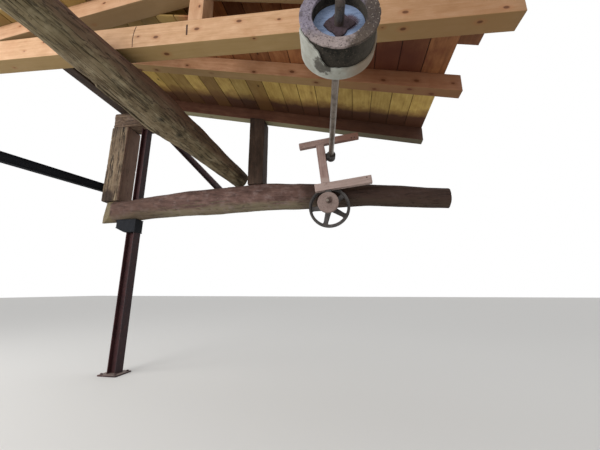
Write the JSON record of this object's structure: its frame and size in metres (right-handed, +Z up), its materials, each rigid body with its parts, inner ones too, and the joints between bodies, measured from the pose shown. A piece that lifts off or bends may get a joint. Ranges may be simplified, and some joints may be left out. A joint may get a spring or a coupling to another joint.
{
  "type": "mill roof frame with overhead line shaft",
  "caption": "Timber roof frame of a mill hall on a steel column, with log tie beam, pine rafters and boards, and a belt-driven line shaft with drum and pulleys.",
  "frame": {"origin": "middle of the underside of the steel column's base plate", "axes": "+X along the log tie beam towards the wall that carries its end, +Y away from the viewer, +Z up"},
  "size_m": [6.7648, 3.5756, 5.37],
  "materials": {
    "old_log_red": "old log, smoke-stained red brown, hewn",
    "old_log_grey": "weathered grey-green old log, checked and worm-eaten",
    "old_oak": "rough squared old timber",
    "dark_oak": "very dark old timber",
    "new_pine": "sawn new pine with knots",
    "roof_board": "rough pine roof boards",
    "bracket_board": "old pinkish unpainted board",
    "red_primer_steel": "rolled steel in worn red-brown primer",
    "black_steel": "rolled steel painted black",
    "dark_iron": "dark cast iron",
    "shaft_steel": "dull worn steel",
    "drum_wood": "dusty grey drum rim",
    "drum_lagging": "pale worn belt lagging with a torn patch",
    "hub_plate": "pale blue-grey painted plate, stained by rust",
    "pale_disc": "pale dusty disc"
  },
  "bodies": {
    "frame": {"column_base_plate": "red_primer_steel", "steel_column": "red_primer_steel", "column_cap": "black_steel", "tie_beam": "old_log_red", "old_post": "old_oak", "steel_stub": "red_primer_steel", "steel_brace": "red_primer_steel", "side_beam": "black_steel", "post_saddle": "old_oak", "ridge_beam": "dark_oak", "king_post": "dark_oak", "bridging_log": "old_log_grey", "rear_rafter": "new_pine", "middle_rafter": "new_pine", "near_cross_beam": "new_pine", "cross_beam_post": "new_pine", "near_rafter_left": "new_pine", "near_rafter_right": "new_pine", "roof_boards_left": "roof_board", "roof_boards_middle": "roof_board", "roof_boards_right": "roof_board", "near_boards_left": "roof_board", "near_boards_right": "roof_board", "bracket_top_board": "bracket_board", "bracket_upright": "bracket_board", "bracket_bottom_board": "bracket_board", "end_bearing": "dark_iron", "hanger": "dark_iron", "counter_bearing": "dark_iron"},
    "shaft": {"line_shaft": "shaft_steel", "drum_body": "drum_wood", "drum_lagging": "drum_lagging", "drum_hub_plate": "hub_plate"},
    "counter": {"counter_axle": "shaft_steel", "spoked_pulley": "dark_iron", "disc_pulley": "pale_disc"}
  },
  "joints": [
    {"name": "shaft_spin", "type": "hinge", "parent": "frame", "child": "shaft", "pos_m": [3.668, -0.3, 3.41], "axis": [0.0993, -0.9951, 0], "continuous": true},
    {"name": "counter_spin", "type": "hinge", "parent": "frame", "child": "counter", "pos_m": [3.625, -0.4, 2.592], "axis": [0, -1, 0], "continuous": true}
  ]
}
